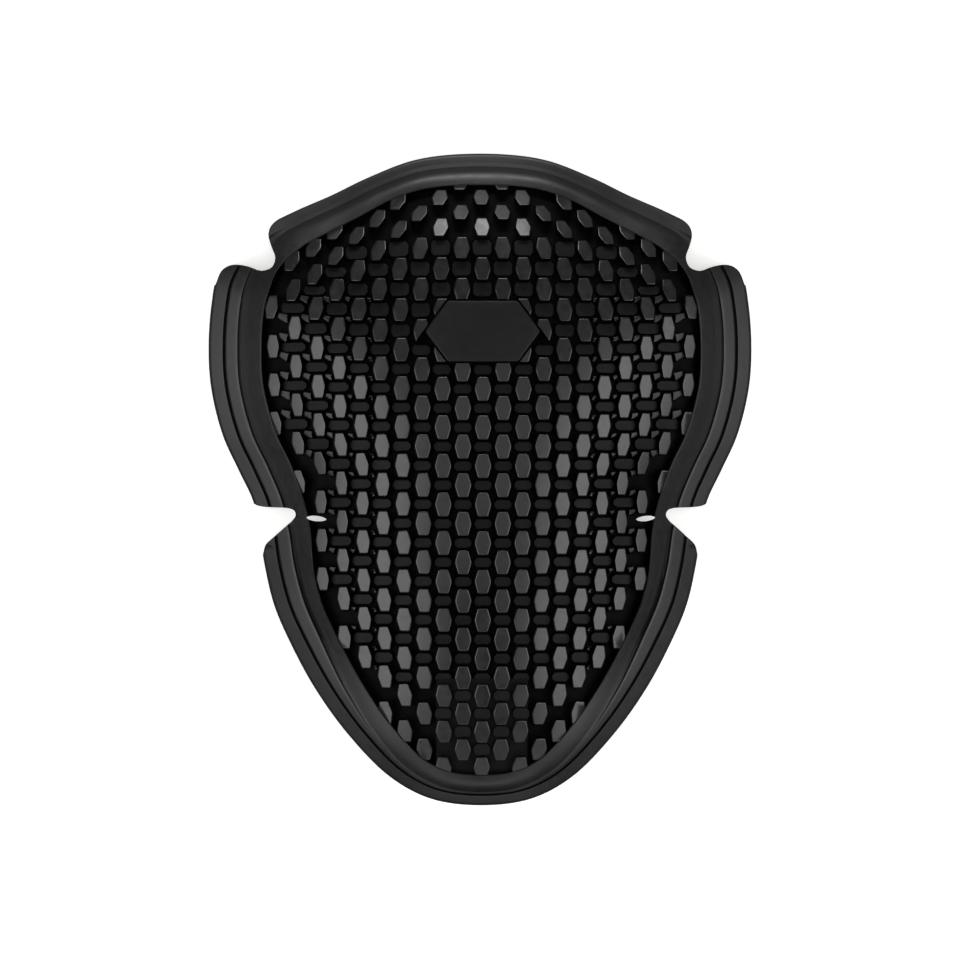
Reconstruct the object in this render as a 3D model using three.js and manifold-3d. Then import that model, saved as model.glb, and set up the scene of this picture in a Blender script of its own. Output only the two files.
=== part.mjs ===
// Shoulder protector insert for a riding jacket, moulded in one piece of black rubber foam.
// A hollow dome with a plain rim, three lobes between four notches, and a recessed field of
// raised six-sided cells and lower bars. X runs across, Y along towards the neck, Z up and out.
// The dome stands on the flat land of its lip, at Z = 0. All sizes are millimetres.

import * as THREE from 'three';
import { mergeVertices } from 'three/addons/utils/BufferGeometryUtils.js';
import Module from 'manifold-3d';

const wasm = await Module();
wasm.setup();

// Overall sizes
const length = 205;
const width = 171;
const sideRise = 44;          // crown above the lip of a wing
const topRise = 44;           // crown above the lip at the neck end
const tipRise = 29;           // crown above the lip at the arm end
const lipTop = 2.4;           // upper face of the lowest lip above the ground

// Walls and relief
const flangeWall = 3;
const floorWall = 3.5;        // wall under the channels
const cellHeight = 3.5;       // cell above the channel floor
const barHeight = 1.6;        // bar above the channel floor
const patchHeight = 1.7;      // raised channel floor near the arm end
const badgeProud = 0.5;       // blank badge above the cells

// Rim
const grooveDepth = 1.2;
const grooveWidth = 0.8;
const coveDepth = 1.6;        // trough between the flange and the edge of the field

// Cell field
const cellWidth = 5.3;
const cellLength = 7.5;
const cellEnd = 2.9;          // straight edge at each end of a cell
const channel = 0.7;
const draft = 0.2;            // a wall's foot stands out this far
const topColumnPitch = 6.55;
const tipColumnPitch = 5.95;
const rowPitch = 6.03;
const shoulderRowPitch = 6.55;
const steepRowPitch = 4.75;
const tipRowPitch = 5.66;     // on the raised floor near the arm end
const sideSpread = 1.7;       // extra spread of the outermost columns
const rowSag = 26;            // how far the uppermost rows hang down at the sides
const rowLift = 1.4;          // how far the other rows rise at the sides
const barShift = 1.1;         // outward shift of a bar on a slope of 45 degrees

// Badge, patch and slits
const badgeLength = 36;
const badgeWidth = 19;
const badgeShoulder = 22;     // length of the badge's straight upper edge
const badgeChannel = 0.55;
const patchWidth = 29;
const patchLength = 29;
const slitLength = 6.3;
const slitWidth = 1.7;

const halfLength = length / 2;
const halfWidth = width / 2;
const crownHeight = lipTop + sideRise;
const crownY = 0.1 * halfLength;
const badgeY = 0.4515 * halfLength;
const creaseY = 0.766 * halfLength;
const patchY = -0.75 * halfLength;
const slitX = 0.605 * halfWidth;
const slitY = -0.121 * halfLength;
const barsTopY = 0.72 * halfLength;
const barsTipY = -0.64 * halfLength;
const sideCellsX = 0.737 * halfWidth;   // where the outermost columns stand
const steepCellsY = 0.9 * halfLength;   // where the uppermost row stands
const clearance = 20;         // how far a cutting solid reaches past the part

// Fall of the dome from its crown to its lip in three directions, as shares of the whole fall.
// reach is the share of the way from the crown to the outline.
const domeSections = [
  { reach: 0.00, side: 0.000, top: 0.000, tip: 0.000 },
  { reach: 0.20, side: 0.020, top: 0.017, tip: 0.018 },
  { reach: 0.40, side: 0.120, top: 0.083, tip: 0.090 },
  { reach: 0.60, side: 0.342, top: 0.202, tip: 0.245 },
  { reach: 0.70, side: 0.505, top: 0.290, tip: 0.353 },
  { reach: 0.76, side: 0.600, top: 0.381, tip: 0.440 },
  { reach: 0.85, side: 0.749, top: 0.613, tip: 0.592 },
  { reach: 0.92, side: 0.866, top: 0.794, tip: 0.735 },
  { reach: 1.00, side: 1.000, top: 1.000, tip: 1.000 },
];

// Right half of the rim, from the neck end to the arm end, as shares of the half width and half
// length. The outer pair is the outline without its notches, the inner pair the field's edge.
const rimSections = [
  { outerX: 0.000, outerY: 1.000, innerX: 0.000, innerY: 0.902 },
  { outerX: 0.232, outerY: 0.982, innerX: 0.203, innerY: 0.891 },
  { outerX: 0.413, outerY: 0.926, innerX: 0.331, innerY: 0.856 },
  { outerX: 0.549, outerY: 0.871, innerX: 0.449, innerY: 0.804 },
  { outerX: 0.681, outerY: 0.823, innerX: 0.564, innerY: 0.755 },
  { outerX: 0.800, outerY: 0.772, innerX: 0.663, innerY: 0.709 },
  { outerX: 0.905, outerY: 0.705, innerX: 0.748, innerY: 0.641 },
  { outerX: 0.968, outerY: 0.625, innerX: 0.781, innerY: 0.574 },
  { outerX: 0.989, outerY: 0.540, innerX: 0.799, innerY: 0.512 },
  { outerX: 1.000, outerY: 0.411, innerX: 0.807, innerY: 0.411 },
  { outerX: 0.991, outerY: 0.282, innerX: 0.801, innerY: 0.291 },
  { outerX: 0.948, outerY: 0.135, innerX: 0.755, innerY: 0.144 },
  { outerX: 0.888, outerY: 0.025, innerX: 0.700, innerY: 0.046 },
  { outerX: 0.836, outerY: -0.068, innerX: 0.652, innerY: -0.064 },
  { outerX: 0.814, outerY: -0.156, innerX: 0.628, innerY: -0.156 },
  { outerX: 0.794, outerY: -0.264, innerX: 0.617, innerY: -0.270 },
  { outerX: 0.759, outerY: -0.387, innerX: 0.586, innerY: -0.380 },
  { outerX: 0.696, outerY: -0.509, innerX: 0.527, innerY: -0.488 },
  { outerX: 0.608, outerY: -0.644, innerX: 0.438, innerY: -0.626 },
  { outerX: 0.486, outerY: -0.785, innerX: 0.328, innerY: -0.758 },
  { outerX: 0.333, outerY: -0.914, innerX: 0.210, innerY: -0.859 },
  { outerX: 0.184, outerY: -0.980, innerX: 0.107, innerY: -0.897 },
  { outerX: 0.000, outerY: -1.000, innerX: 0.000, innerY: -0.905 },
];

// Bands of the rim, as shares of its width from the outer edge inwards. around is the place on
// the rim's half, from 0 at the neck end to 1 at the arm end. groove is its share of full depth.
const bandSections = [
  { around: 0.00, lip: 0.30, band: 0.38, groove: 0 },
  { around: 0.20, lip: 0.30, band: 0.38, groove: 0 },
  { around: 0.30, lip: 0.27, band: 0.53, groove: 1 },
  { around: 0.60, lip: 0.27, band: 0.56, groove: 1 },
  { around: 0.75, lip: 0.31, band: 0.66, groove: 1 },
  { around: 1.00, lip: 0.40, band: 0.60, groove: 1 },
];

// Notch outlines on the right side, as shares of the half width and half length. The first and
// the last point lie outside the part.
const upperNotch = [
  { x: 0.720, y: 0.880 },
  { x: 0.702, y: 0.819 },
  { x: 0.742, y: 0.799 },
  { x: 0.770, y: 0.778 },
  { x: 0.780, y: 0.752 },
  { x: 0.770, y: 0.716 },
  { x: 0.755, y: 0.680 },
  { x: 0.768, y: 0.650 },
  { x: 0.807, y: 0.639 },
  { x: 0.850, y: 0.651 },
  { x: 0.890, y: 0.658 },
  { x: 0.926, y: 0.655 },
  { x: 0.954, y: 0.638 },
  { x: 0.975, y: 0.596 },
  { x: 1.100, y: 0.580 },
];
const lowerNotch = [
  { x: 1.000, y: -0.030 },
  { x: 0.858, y: -0.030 },
  { x: 0.846, y: -0.062 },
  { x: 0.824, y: -0.080 },
  { x: 0.786, y: -0.086 },
  { x: 0.711, y: -0.089 },
  { x: 0.687, y: -0.096 },
  { x: 0.680, y: -0.110 },
  { x: 0.690, y: -0.125 },
  { x: 0.715, y: -0.144 },
  { x: 0.762, y: -0.179 },
  { x: 0.790, y: -0.202 },
  { x: 0.800, y: -0.232 },
  { x: 1.000, y: -0.270 },
];

// Rings of the hollow from its middle outwards. field is a ring's place as a share of the field's
// reach and rim one as a share of the rim's width beyond it. wall goes from 0, the flange's wall,
// to 1, the wall under the channels. The last ring lies outside the outline.
const hollowRings = [
  { field: 0.40, rim: 0.00, wall: 1.00 },
  { field: 0.70, rim: 0.00, wall: 1.00 },
  { field: 1.00, rim: 0.00, wall: 1.00 },
  { field: 1.00, rim: 0.40, wall: 0.35 },
  { field: 1.00, rim: 0.70, wall: 0.00 },
  { field: 1.00, rim: 1.25, wall: 0.00 },
];
const hollowSectors = 36;
const rimStations = 54;

// Smooth curve through one column of a table, with no overshoot between its rows
function tableCurve(rows, from, to) {
  const xs = rows.map((row) => row[from]);
  const ys = rows.map((row) => row[to]);
  const slopes = xs.slice(1).map((x, k) => (ys[k + 1] - ys[k]) / (x - xs[k]));
  const tangents = xs.map((x, k) => {
    if (k === 0) return 0;
    if (k === xs.length - 1) return slopes[k - 1];
    if (slopes[k - 1] * slopes[k] <= 0) return 0;
    return (2 * slopes[k - 1] * slopes[k]) / (slopes[k - 1] + slopes[k]);
  });
  return (x) => {
    const last = xs.length - 1;
    if (x >= xs[last]) return ys[last] + tangents[last] * (x - xs[last]);
    const k = Math.max(0, xs.findIndex((value) => value > x) - 1);
    const span = xs[k + 1] - xs[k];
    const u = (x - xs[k]) / span;
    const rise = ys[k + 1] - ys[k];
    const bendIn = span * tangents[k] - rise;
    const bendOut = rise - span * tangents[k + 1];
    return ys[k] + rise * u + u * (1 - u) * ((1 - u) * bendIn + u * bendOut);
  };
}

// Closed plan curve through the rim table, mirrored to both sides
function rimCurve(xKey, yKey) {
  const right = rimSections.map((row) => new THREE.Vector3(row[xKey] * halfWidth, row[yKey] * halfLength, 0));
  const left = right.slice(1, -1).reverse().map((point) => new THREE.Vector3(-point.x, point.y, 0));
  return new THREE.CatmullRomCurve3([...right, ...left], true, 'centripetal');
}

// Distance from the crown to a closed curve in a given direction
function reachOf(curve) {
  const points = curve.getPoints(900).slice(0, -1).map((point) => ({
    angle: Math.atan2(point.y - crownY, point.x),
    reach: Math.hypot(point.x, point.y - crownY),
  }));
  points.sort((a, b) => a.angle - b.angle);
  const first = points[0];
  const last = points[points.length - 1];
  points.unshift({ angle: last.angle - 2 * Math.PI, reach: last.reach });
  points.push({ angle: first.angle + 2 * Math.PI, reach: first.reach });
  return (angle) => {
    let low = 0;
    let high = points.length - 1;
    while (high - low > 1) {
      const middle = (low + high) >> 1;
      if (points[middle].angle <= angle) low = middle;
      else high = middle;
    }
    const share = (angle - points[low].angle) / (points[high].angle - points[low].angle);
    return THREE.MathUtils.lerp(points[low].reach, points[high].reach, share);
  };
}

const outerCurve = rimCurve('outerX', 'outerY');
const innerCurve = rimCurve('innerX', 'innerY');
const outerReach = reachOf(outerCurve);
const innerReach = reachOf(innerCurve);
const sideFall = tableCurve(domeSections, 'reach', 'side');
const topFall = tableCurve(domeSections, 'reach', 'top');
const tipFall = tableCurve(domeSections, 'reach', 'tip');

// Height of the dome's skin, which the tops of the cells and the flange follow
function skin(x, y) {
  const angle = Math.atan2(y - crownY, x);
  const reach = Math.hypot(x, y - crownY) / outerReach(angle);
  const across = Math.cos(angle) ** 2;
  const along = Math.sin(angle) ** 2;
  const endFall = y > crownY ? topRise * topFall(reach) : tipRise * tipFall(reach);
  return crownHeight - across * sideRise * sideFall(reach) - along * endFall;
}

function slope(x, y) {
  const step = 0.2;
  return {
    x: (skin(x + step, y) - skin(x - step, y)) / (2 * step),
    y: (skin(x, y + step) - skin(x, y - step)) / (2 * step),
  };
}

// Height of a surface that lies a given depth under the skin, measured square to it
function under(x, y, depth) {
  const s = slope(x, y);
  return skin(x, y) - depth * Math.sqrt(1 + s.x * s.x + s.y * s.y);
}

function toSolid(positions, triangles) {
  return new wasm.Manifold(new wasm.Mesh({
    numProp: 3,
    vertProperties: new Float32Array(positions),
    triVerts: new Uint32Array(triangles),
  }));
}

function solidOf(geometry) {
  geometry.deleteAttribute('normal');
  geometry.deleteAttribute('uv');
  const merged = mergeVertices(geometry, 1e-4);
  return toSolid(merged.attributes.position.array, merged.index.array);
}

function prism(points) {
  const shape = new THREE.Shape(points.map((point) => new THREE.Vector2(point.x, point.y)));
  const geometry = new THREE.ExtrudeGeometry(shape, { depth: crownHeight + clearance, bevelEnabled: false });
  return solidOf(geometry);
}

// Closed grid of points: rows go round in one direction, columns in the other
function loft(rings, closedAround) {
  const size = rings[0].length;
  const positions = rings.flat().flatMap((point) => [point.x, point.y, point.z]);
  const triangles = [];
  const count = closedAround ? rings.length : rings.length - 1;
  for (let r = 0; r < count; r += 1) {
    const next = (r + 1) % rings.length;
    for (let k = 0; k < size; k += 1) {
      const a = r * size + k;
      const b = r * size + ((k + 1) % size);
      const c = next * size + ((k + 1) % size);
      const d = next * size + k;
      triangles.push(a, b, c, a, c, d);
    }
  }
  return { positions, triangles };
}

// Stations round the rim, with the plan points of its outer and inner edge
function rimStation(k) {
  const around = k / rimStations;
  const outer = outerCurve.getPoint(around);
  const inner = innerCurve.getPoint(around);
  return { outer, inner, half: around < 0.5 ? 2 * around : 2 - 2 * around };
}

const lipShare = tableCurve(bandSections, 'around', 'lip');
const bandShare = tableCurve(bandSections, 'around', 'band');
const grooveShare = tableCurve(bandSections, 'around', 'groove');

// Upper face of the rim from its outer to its inner edge, as shares of its width and depths
function rimProfile(half, rimWidth) {
  const lip = lipShare(half);
  const band = bandShare(half);
  const groove = grooveWidth / rimWidth;
  const cove = 1 - band;
  return [
    { share: 0, depth: 0 },
    { share: lip, depth: 0 },
    { share: lip + groove / 2, depth: grooveDepth * Math.min(1, Math.max(0, grooveShare(half))) },
    { share: lip + groove, depth: 0 },
    { share: Math.max(band, lip + 1.2 * groove), depth: 0 },
    { share: band + 0.2 * cove, depth: coveDepth },
    { share: band + 0.6 * cove, depth: 0.6 * coveDepth },
    { share: 1, depth: 0 },
  ];
}

function makeRim() {
  const rings = [];
  for (let k = 0; k < rimStations; k += 1) {
    const { outer, inner, half } = rimStation(k);
    const top = rimProfile(half, outer.distanceTo(inner)).map(({ share, depth }) => {
      const point = outer.clone().lerp(inner, share);
      point.z = skin(point.x, point.y) - depth;
      return point;
    });
    rings.push([outer.clone(), ...top, inner.clone()]);
  }
  const { positions, triangles } = loft(rings, true);
  return toSolid(positions, triangles);
}

// Space under the dome, from its inner face down past the ground
function makeHollow() {
  const rings = hollowRings.map(({ field, rim, wall }) => {
    const depth = flangeWall + wall * (floorWall + cellHeight - flangeWall);
    return Array.from({ length: hollowSectors }, (unused, k) => {
      const angle = (2 * Math.PI * k) / hollowSectors - Math.PI;
      const inner = innerReach(angle);
      const reach = field * inner + rim * (outerReach(angle) - inner);
      const x = reach * Math.cos(angle);
      const y = crownY + reach * Math.sin(angle);
      return new THREE.Vector3(x, y, under(x, y, depth));
    });
  });
  const foot = rings[rings.length - 1].map((point) => new THREE.Vector3(point.x, point.y, -clearance));
  rings.push(foot);
  const { positions, triangles } = loft(rings, false);
  const apex = positions.length / 3;
  positions.push(0, crownY, under(0, crownY, floorWall + cellHeight));
  positions.push(0, crownY, -clearance);
  const footStart = (rings.length - 1) * hollowSectors;
  for (let k = 0; k < hollowSectors; k += 1) {
    const next = (k + 1) % hollowSectors;
    triangles.push(apex, next, k);
    triangles.push(apex + 1, footStart + k, footStart + next);
  }
  const turned = [];
  for (let t = 0; t < triangles.length; t += 3) {
    turned.push(triangles[t], triangles[t + 2], triangles[t + 1]);
  }
  return toSolid(positions, turned);
}

// Block between two surfaces parallel to the skin, that reaches past the badge in plan
function badgeBlock(lowDepth, highDepth) {
  const margin = 4 * badgeChannel;
  const columns = 6;
  const rows = 3;
  const sizeX = badgeLength + 2 * margin;
  const sizeY = badgeWidth + 2 * margin;
  const geometry = new THREE.BoxGeometry(sizeX, sizeY, 2, columns, rows, 1);
  const position = geometry.attributes.position;
  for (let k = 0; k < position.count; k += 1) {
    const x = position.getX(k);
    const y = position.getY(k) + badgeY;
    position.setXYZ(k, x, y, under(x, y, position.getZ(k) > 0 ? highDepth : lowDepth));
  }
  return solidOf(geometry);
}

// Outline of the badge, grown outwards by the same distance on every edge
function badgeOutline(grow) {
  const point = (badgeLength - badgeShoulder) / 2;
  const slant = Math.hypot(point, badgeWidth / 2);
  const end = badgeLength / 2 + (grow * slant) / (badgeWidth / 2);
  const side = badgeWidth / 2 + grow;
  const shoulder = end - (side * point) / (badgeWidth / 2);
  return [
    { x: end, y: badgeY },
    { x: shoulder, y: badgeY + side },
    { x: -shoulder, y: badgeY + side },
    { x: -end, y: badgeY },
    { x: -shoulder, y: badgeY - side },
    { x: shoulder, y: badgeY - side },
  ];
}

// Whether a site lies wholly under the badge
function insideBadge({ x, y }) {
  const end = (badgeLength - cellWidth) / 2;
  const shoulder = (badgeShoulder - cellWidth) / 2;
  const side = (badgeWidth - cellWidth) / 2;
  const up = Math.abs(y - badgeY);
  return up < side && Math.abs(x) < end - (end - shoulder) * (up / side);
}

// How far a point lies inside the edge of the field
function insetOf({ x, y }) {
  return innerReach(Math.atan2(y - crownY, x)) - Math.hypot(x, y - crownY);
}

function insidePatch({ x, y }) {
  return Math.abs(x) < patchWidth / 2 && Math.abs(y - patchY) < patchLength / 2;
}

// Cells stand up to the rim's edge, which cuts some of them; bars stop short of it, of the steep
// end and of the patch
const cellShows = (centre) => insetOf(centre) > 0.2 * cellWidth;
const barShows = (centre) => insetOf(centre) > 1.25 * cellWidth
  && centre.y < barsTopY && centre.y > barsTipY && !insidePatch(centre);
const floorDepth = (point) => (insidePatch(point) ? cellHeight - patchHeight : cellHeight);

// Centre line of a row of cells, counted up from the row through the badge
function rowLine(row) {
  if (row <= 0) {
    const evenRows = Math.round((badgeY - patchY - patchLength / 2) / rowPitch);
    const even = Math.max(row, -evenRows);
    return badgeY + even * rowPitch + (row - even) * tipRowPitch;
  }
  const shoulderRows = Math.round((creaseY - badgeY) / shoulderRowPitch);
  const gentle = Math.min(row, shoulderRows);
  return badgeY + gentle * shoulderRowPitch + (row - gentle) * steepRowPitch;
}

function siteCentre(column, row) {
  const line = rowLine(row);
  const up = (line + halfLength) / length;
  const even = column * THREE.MathUtils.lerp(tipColumnPitch, topColumnPitch, up);
  const out = Math.abs(even) / sideCellsX;
  const x = even + Math.sign(even) * sideSpread * out ** 4;
  const high = THREE.MathUtils.clamp((line - badgeY) / (steepCellsY - badgeY), 0, 1);
  const y = line + rowLift * out ** 2 - rowSag * high ** 2 * Math.min(out, 0.85) ** 3;
  return { x, y };
}

const isCell = (column, row) => (column + row) % 2 !== 0;

// Corners of a cell on the plane that touches the skin at its centre
function cellCorners(centre, grow) {
  const s = slope(centre.x, centre.y);
  const normal = new THREE.Vector3(-s.x, -s.y, 1).normalize();
  const across = new THREE.Vector3(1, 0, s.x).normalize();
  const along = normal.clone().cross(across);
  const origin = new THREE.Vector3(centre.x, centre.y, skin(centre.x, centre.y));
  const end = cellEnd / 2 + grow * 0.7;
  const side = cellWidth / 2 + grow;
  const tall = cellLength / 2 + grow;
  const corners = {
    topRight: [end, tall],
    topLeft: [-end, tall],
    sideLeft: [-side, 0],
    bottomLeft: [-end, -tall],
    bottomRight: [end, -tall],
    sideRight: [side, 0],
  };
  return Object.entries(corners).map(([name, [a, b]]) => {
    const point = origin.clone().addScaledVector(across, a).addScaledVector(along, b);
    return { name, point };
  });
}

// Corners of a bar in plan, held clear of the cells beside, above and below it
function barCorners(column, row, grow) {
  const centre = siteCentre(column, row);
  const s = slope(centre.x, centre.y);
  const shiftX = -barShift * s.x;
  const besideX = (siteCentre(column + 1, row).x - siteCentre(column - 1, row).x) / 2;
  const besideY = (siteCentre(column, row + 1).y - siteCentre(column, row - 1).y) / 2;
  const cellX = cellWidth / 2 / Math.hypot(1, s.x);
  const cellY = cellLength / 2 / Math.hypot(1, s.y);
  const reachX = Math.max(0.3, besideX - cellX - channel - Math.abs(shiftX)) + grow;
  const reachY = Math.max(0.3, besideY - cellY - channel) + grow;
  const corners = { topRight: [1, 1], topLeft: [-1, 1], bottomLeft: [-1, -1], bottomRight: [1, -1] };
  return Object.entries(corners).map(([name, [a, b]]) => {
    const point = new THREE.Vector3(centre.x + shiftX + a * reachX, centre.y + b * reachY, 0);
    return { name, point };
  });
}

// Relief of the whole field: tops and walls of the cells and bars, and the floor between them,
// closed by a skirt down past the ground
function makeRelief() {
  const positions = [];
  const triangles = [];
  const sites = new Map();

  const addPoint = (point) => positions.push(point.x, point.y, point.z) / 3 - 1;
  const addFan = (ids) => {
    const corners = ids.filter((id, k) => id !== ids[(k + 1) % ids.length]);
    for (let k = 1; k < corners.length - 1; k += 1) triangles.push(corners[0], corners[k], corners[k + 1]);
  };

  function addSite(column, row) {
    const key = `${column},${row}`;
    if (sites.has(key)) return sites.get(key);
    const centre = siteCentre(column, row);
    const cell = isCell(column, row);
    const raised = !insideBadge(centre) && (cell ? cellShows(centre) : barShows(centre));
    const cornersOf = (grow) => (cell ? cellCorners(centre, grow) : barCorners(column, row, grow));
    const onFloor = ({ x, y }) => addPoint({ x, y, z: under(x, y, floorDepth({ x, y })) });
    const site = { cell };
    sites.set(key, site);
    if (!raised) {
      const middle = onFloor(centre);
      for (const { name } of cornersOf(0)) site[name] = middle;
      return site;
    }
    const feet = cornersOf(draft).map(({ name, point }) => {
      site[name] = onFloor(point);
      return site[name];
    });
    const tops = cornersOf(0).map(({ point: { x, y, z } }) => (
      addPoint({ x, y, z: cell ? z : under(x, y, cellHeight - barHeight) })
    ));
    feet.forEach((foot, k) => {
      const next = (k + 1) % feet.length;
      addFan([foot, feet[next], tops[next], tops[k]]);
    });
    addFan(tops);
    return site;
  }

  const beside = new Set();
  function addBeside(column, row) {
    const key = `${column},${row}`;
    if (beside.has(key)) return;
    beside.add(key);
    const left = addSite(column, row);
    const right = addSite(column + 1, row);
    if (left.cell) addFan([left.sideRight, right.bottomLeft, right.topLeft]);
    else addFan([left.bottomRight, right.sideLeft, left.topRight]);
  }

  const stacked = new Set();
  function addStacked(column, row) {
    const key = `${column},${row}`;
    if (stacked.has(key)) return;
    stacked.add(key);
    const low = addSite(column, row);
    const high = addSite(column, row + 1);
    addFan([low.topLeft, low.topRight, high.bottomRight, high.bottomLeft]);
  }

  function addCorner(column, row) {
    const lowLeft = addSite(column, row);
    const lowRight = addSite(column + 1, row);
    const highRight = addSite(column + 1, row + 1);
    const highLeft = addSite(column, row + 1);
    if (lowLeft.cell) {
      addFan([lowRight.topLeft, highRight.bottomLeft, highRight.sideLeft, highLeft.bottomRight]);
      addFan([highLeft.bottomRight, lowLeft.topRight, lowLeft.sideRight, lowRight.topLeft]);
    } else {
      addFan([lowLeft.topRight, lowRight.sideLeft, lowRight.topLeft, highRight.bottomLeft]);
      addFan([highRight.bottomLeft, highLeft.sideRight, highLeft.bottomRight, lowLeft.topRight]);
    }
    addBeside(column, row);
    addBeside(column, row + 1);
    addStacked(column, row);
    addStacked(column + 1, row);
  }

  const margin = 0.75 * cellLength;
  const columnLimit = Math.ceil(halfWidth / tipColumnPitch);
  const rowsUp = Math.ceil(halfLength / steepRowPitch);
  const rowsDown = Math.ceil(length / tipRowPitch);
  for (let column = -columnLimit; column < columnLimit; column += 1) {
    for (let row = -rowsDown; row < rowsUp; row += 1) {
      const low = siteCentre(column, row);
      const high = siteCentre(column + 1, row + 1);
      const middle = { x: (low.x + high.x) / 2, y: (low.y + high.y) / 2 };
      if (insetOf(middle) > -margin) addCorner(column, row);
    }
  }
  return closeDown(positions, triangles);
}

// Closes an open surface by a skirt from its border down to a flat foot
function closeDown(positions, triangles) {
  const edges = new Map();
  for (let t = 0; t < triangles.length; t += 3) {
    for (let k = 0; k < 3; k += 1) {
      const a = triangles[t + k];
      const b = triangles[t + ((k + 1) % 3)];
      if (!edges.delete(`${b},${a}`)) edges.set(`${a},${b}`, [a, b]);
    }
  }
  const follow = new Map([...edges.values()]);
  const loop = [];
  let at = follow.keys().next().value;
  while (follow.has(at)) {
    loop.push(at);
    const next = follow.get(at);
    follow.delete(at);
    at = next;
  }
  const footZ = -4 * clearance;
  const foot = positions.length / 3;
  for (const id of loop) positions.push(positions[3 * id], positions[3 * id + 1], footZ);
  loop.forEach((id, k) => {
    const next = (k + 1) % loop.length;
    triangles.push(foot + k, foot + next, loop[next], foot + k, loop[next], id);
  });
  const centre = positions.length / 3;
  positions.push(0, crownY, footZ);
  loop.forEach((id, k) => triangles.push(centre, foot + ((k + 1) % loop.length), foot + k));
  return toSolid(positions, triangles);
}

function fieldPrism() {
  const overlap = 0.3;
  const points = [];
  for (let k = 0; k < rimStations; k += 1) {
    const { outer, inner } = rimStation(k);
    points.push(inner.clone().lerp(outer, overlap / inner.distanceTo(outer)));
  }
  return prism(points.reverse());
}

function notchPrism(rows, side) {
  const steps = 13;
  const points = rows.map((row) => new THREE.Vector3(side * row.x * halfWidth, row.y * halfLength, 0));
  const inside = points.slice(1, -1);
  const curve = new THREE.CatmullRomCurve3(inside, false, 'centripetal');
  return prism([points[0], ...curve.getPoints(steps), points[points.length - 1]]);
}

// Leaf-shaped slit, pointed at both ends
function slitPrism(side) {
  const steps = 5;
  const tilt = 0.09;
  const points = [];
  for (let k = 0; k <= 2 * steps - 1; k += 1) {
    const turn = (Math.PI * k) / steps;
    const leaf = Math.sign(Math.sin(turn)) * Math.abs(Math.sin(turn)) ** 1.3;
    const along = (slitLength / 2) * Math.cos(turn);
    points.push({ x: side * (slitX + along), y: slitY + tilt * along + (slitWidth / 2) * leaf });
  }
  return prism(points);
}

function makeBody() {
  const moatDepth = cellHeight + 0.3;
  const rootDepth = cellHeight + floorWall / 2;
  const badgeMoat = prism(badgeOutline(badgeChannel)).intersect(badgeBlock(moatDepth, -clearance));
  const badge = prism(badgeOutline(0)).intersect(badgeBlock(rootDepth, -badgeProud));
  const field = makeRelief()
    .subtract(badgeMoat)
    .add(badge)
    .intersect(fieldPrism());
  let body = makeRim().add(field).subtract(makeHollow());
  for (const side of [-1, 1]) {
    body = body
      .subtract(notchPrism(upperNotch, side))
      .subtract(notchPrism(lowerNotch, side))
      .subtract(slitPrism(side));
  }
  return body;
}

function meshOf(solid, name, material) {
  const { vertProperties, triVerts } = solid.getMesh();
  const geometry = new THREE.BufferGeometry();
  geometry.setAttribute('position', new THREE.BufferAttribute(new Float32Array(vertProperties), 3));
  geometry.setIndex(new THREE.BufferAttribute(new Uint32Array(triVerts), 1));
  geometry.computeVertexNormals();
  const mesh = new THREE.Mesh(geometry, material);
  mesh.name = name;
  return mesh;
}

const blackRubber = new THREE.MeshStandardMaterial({ color: 0x17181a, roughness: 0.5, metalness: 0 });
const protector = new THREE.Group();
protector.add(meshOf(makeBody(), 'protector_body', blackRubber));

export default protector;
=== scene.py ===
"""Shoulder protector insert in satin black foam rubber, on a light table.

The moulding is modelled flat, in plan, where X runs across it, Y along it and Z is the height above the
dome's skin. When a piece has its shape, its points are raised onto the dome. Sizes are millimetres
until then, and the finished pieces are metres.
"""

import math
from collections import namedtuple

import bmesh
import bpy
import numpy as np
from bpy.props import FloatProperty, FloatVectorProperty, IntProperty, PointerProperty
from mathutils import Matrix, Vector


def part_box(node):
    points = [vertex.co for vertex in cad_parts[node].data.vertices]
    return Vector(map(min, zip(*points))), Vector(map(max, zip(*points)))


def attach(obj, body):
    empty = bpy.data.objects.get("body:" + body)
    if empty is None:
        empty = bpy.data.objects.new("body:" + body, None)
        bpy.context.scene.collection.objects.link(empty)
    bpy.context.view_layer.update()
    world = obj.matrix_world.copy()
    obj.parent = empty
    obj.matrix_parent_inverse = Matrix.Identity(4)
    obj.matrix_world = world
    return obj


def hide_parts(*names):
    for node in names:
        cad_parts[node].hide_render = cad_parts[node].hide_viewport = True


bl_info = {
    "name": "Shoulder Protector Insert",
    "version": (1, 0, 0),
    "blender": (4, 5, 0),
    "location": "View3D > Sidebar > Protector",
    "description": "Builds a moulded shoulder protector with a field of raised six-sided cells",
    "category": "Add Mesh",
}

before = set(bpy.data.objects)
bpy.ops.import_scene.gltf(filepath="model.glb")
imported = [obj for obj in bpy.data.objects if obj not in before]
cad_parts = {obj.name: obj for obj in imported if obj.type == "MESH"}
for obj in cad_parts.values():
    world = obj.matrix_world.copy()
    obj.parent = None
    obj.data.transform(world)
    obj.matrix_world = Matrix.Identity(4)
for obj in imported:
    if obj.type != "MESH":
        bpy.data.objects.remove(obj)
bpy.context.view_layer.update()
body_low, body_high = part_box("protector_body")

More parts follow.
